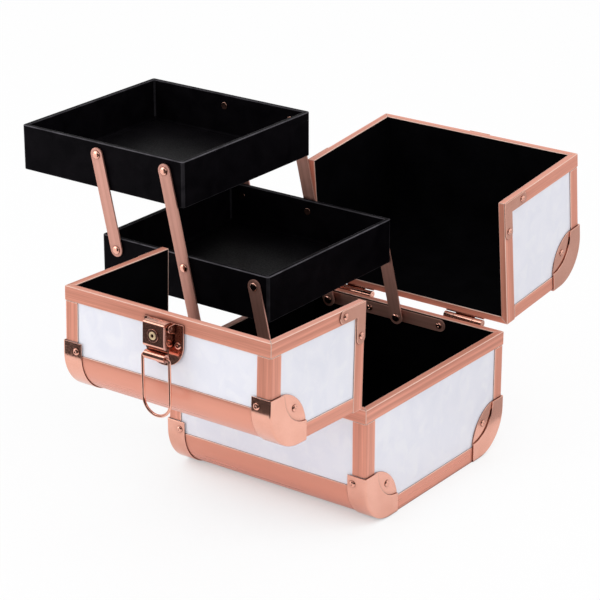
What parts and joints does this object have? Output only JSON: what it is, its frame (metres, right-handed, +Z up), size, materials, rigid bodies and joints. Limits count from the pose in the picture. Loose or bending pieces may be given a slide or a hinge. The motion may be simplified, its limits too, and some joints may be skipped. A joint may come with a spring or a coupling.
{
  "type": "makeup train case",
  "caption": "Compact makeup train case with hinged half lids, cantilever trays on parallel arms, rounded metal edges, corner protectors, a clasp with a bail and a folding handle.",
  "frame": {"origin": "centre of the base box on its underside", "axes": "+X along the clasp side to the right seen from the clasp, +Y from the front lid to the rear lid, +Z up"},
  "size_m": [0.3686, 0.4726, 0.2677],
  "materials": {
    "pearl_panel": "pearl laminate, semi-gloss",
    "black_underside": "matte",
    "black_lining": "short nap",
    "black_leatherette": "fine grain, satin",
    "rose_gold_grip": "satin",
    "rose_gold_strip": "satin rose gold",
    "rose_gold_satin": "brushed anodised rose gold",
    "rose_gold_polished": "polished rose gold plate"
  },
  "bodies": {
    "base": {"base_floor_panel": "black_underside", "base_front_panel": "pearl_panel", "base_rear_panel": "pearl_panel", "base_right_panel": "pearl_panel", "base_left_panel": "pearl_panel", "base_round_edges": "rose_gold_satin", "base_end_bands": "rose_gold_satin", "base_corner_posts": "rose_gold_satin", "base_rim": "rose_gold_satin", "base_lining": "black_lining", "base_protectors": "rose_gold_polished", "base_rivets": "rose_gold_polished", "base_hinges": "rose_gold_polished", "hinge_pins": "rose_gold_polished", "pivot_strips": "rose_gold_strip", "strip_rivets": "rose_gold_polished", "base_pivots": "rose_gold_polished"},
    "front_lid": {"front_lid_top_panel": "pearl_panel", "front_lid_face_panel": "pearl_panel", "front_lid_right_panel": "pearl_panel", "front_lid_left_panel": "pearl_panel", "front_lid_round_edge": "rose_gold_satin", "front_lid_corner_posts": "rose_gold_satin", "front_lid_rim": "rose_gold_satin", "front_lid_lining": "black_lining", "front_lid_protectors": "rose_gold_polished", "front_lid_braces": "rose_gold_polished", "front_lid_rivets": "rose_gold_polished", "front_lid_hinges": "rose_gold_polished", "clasp_plate": "rose_gold_polished", "clasp_pin": "rose_gold_polished", "clasp_rivets": "rose_gold_polished"},
    "rear_lid": {"rear_lid_top_panel": "pearl_panel", "rear_lid_face_panel": "pearl_panel", "rear_lid_right_panel": "pearl_panel", "rear_lid_left_panel": "pearl_panel", "rear_lid_round_edge": "rose_gold_satin", "rear_lid_corner_posts": "rose_gold_satin", "rear_lid_rim": "rose_gold_satin", "rear_lid_lining": "black_lining", "rear_lid_protectors": "rose_gold_polished", "rear_lid_braces": "rose_gold_polished", "rear_lid_rivets": "rose_gold_polished", "rear_lid_hinges": "rose_gold_polished", "catch_hook": "rose_gold_polished", "handle_brackets": "rose_gold_polished"},
    "long_arms": {"long_arms": "rose_gold_strip"},
    "lower_arms": {"lower_arms": "rose_gold_strip"},
    "upper_arms": {"upper_arms": "rose_gold_strip"},
    "lower_tray": {"lower_tray": "black_leatherette", "lower_tray_pivots": "rose_gold_polished"},
    "upper_tray": {"upper_tray": "black_leatherette", "upper_tray_pivots": "rose_gold_polished"},
    "handle": {"handle_frame": "rose_gold_polished", "handle_grip": "rose_gold_grip"},
    "clasp_lever": {"clasp_lever": "rose_gold_polished"},
    "clasp_bail": {"clasp_bail": "rose_gold_polished"},
    "lock_barrel": {"lock_barrel": "rose_gold_polished"}
  },
  "joints": [
    {"name": "front_lid_hinge", "type": "hinge", "parent": "base", "child": "front_lid", "pos_m": [0, -0.1065, 0.1045], "axis": [-1, 0, 0], "range_deg": [0, 7]},
    {"name": "rear_lid_hinge", "type": "hinge", "parent": "base", "child": "rear_lid", "pos_m": [0, 0.1065, 0.1045], "axis": [1, 0, 0], "range_deg": [0, 2.5]},
    {"name": "tray_lift", "type": "hinge", "parent": "base", "child": "long_arms", "pos_m": [-0.0727, 0, 0.098], "axis": [0, 1, 0], "range_deg": [0, 73.7]},
    {"name": "lower_arm_pivot", "type": "hinge", "parent": "base", "child": "lower_arms", "pos_m": [-0.0007, 0, 0.098], "axis": [0, 1, 0], "range_deg": [0, 73.7]},
    {"name": "lower_tray_pivot", "type": "hinge", "parent": "long_arms", "child": "lower_tray", "pos_m": [-0.09143, 0, 0.17783], "axis": [0, 1, 0], "range_deg": [-73.7, 0]},
    {"name": "upper_tray_pivot", "type": "hinge", "parent": "long_arms", "child": "upper_tray", "pos_m": [-0.11015, 0, 0.25767], "axis": [0, 1, 0], "range_deg": [-73.7, 0]},
    {"name": "upper_arm_pivot", "type": "hinge", "parent": "lower_tray", "child": "upper_arms", "pos_m": [-0.16342, 0, 0.17783], "axis": [0, 1, 0], "range_deg": [0, 73.7]},
    {"name": "handle_fold", "type": "hinge", "parent": "rear_lid", "child": "handle", "pos_m": [0, 0.22426, 0.22296], "axis": [1, 0, 0], "range_deg": [0, 90]},
    {"name": "lever_swing", "type": "hinge", "parent": "front_lid", "child": "clasp_lever", "pos_m": [0, -0.2319, 0.19543], "axis": [-1, 0, 0], "range_deg": [0, 90]},
    {"name": "bail_swing", "type": "hinge", "parent": "clasp_lever", "child": "clasp_bail", "pos_m": [0, -0.2362, 0.17257], "axis": [-1, 0, 0], "range_deg": [-15, 160]},
    {"name": "lock_turn", "type": "hinge", "parent": "clasp_lever", "child": "lock_barrel", "pos_m": [0, -0.23909, 0.19018], "axis": [0, -0.9994, 0.0349], "range_deg": [0, 90]}
  ],
  "couplings": [
    {"joint": "lower_arm_pivot", "follows": "tray_lift", "ratio": 1},
    {"joint": "lower_tray_pivot", "follows": "tray_lift", "ratio": -1},
    {"joint": "upper_tray_pivot", "follows": "tray_lift", "ratio": -1},
    {"joint": "upper_arm_pivot", "follows": "tray_lift", "ratio": 1}
  ]
}
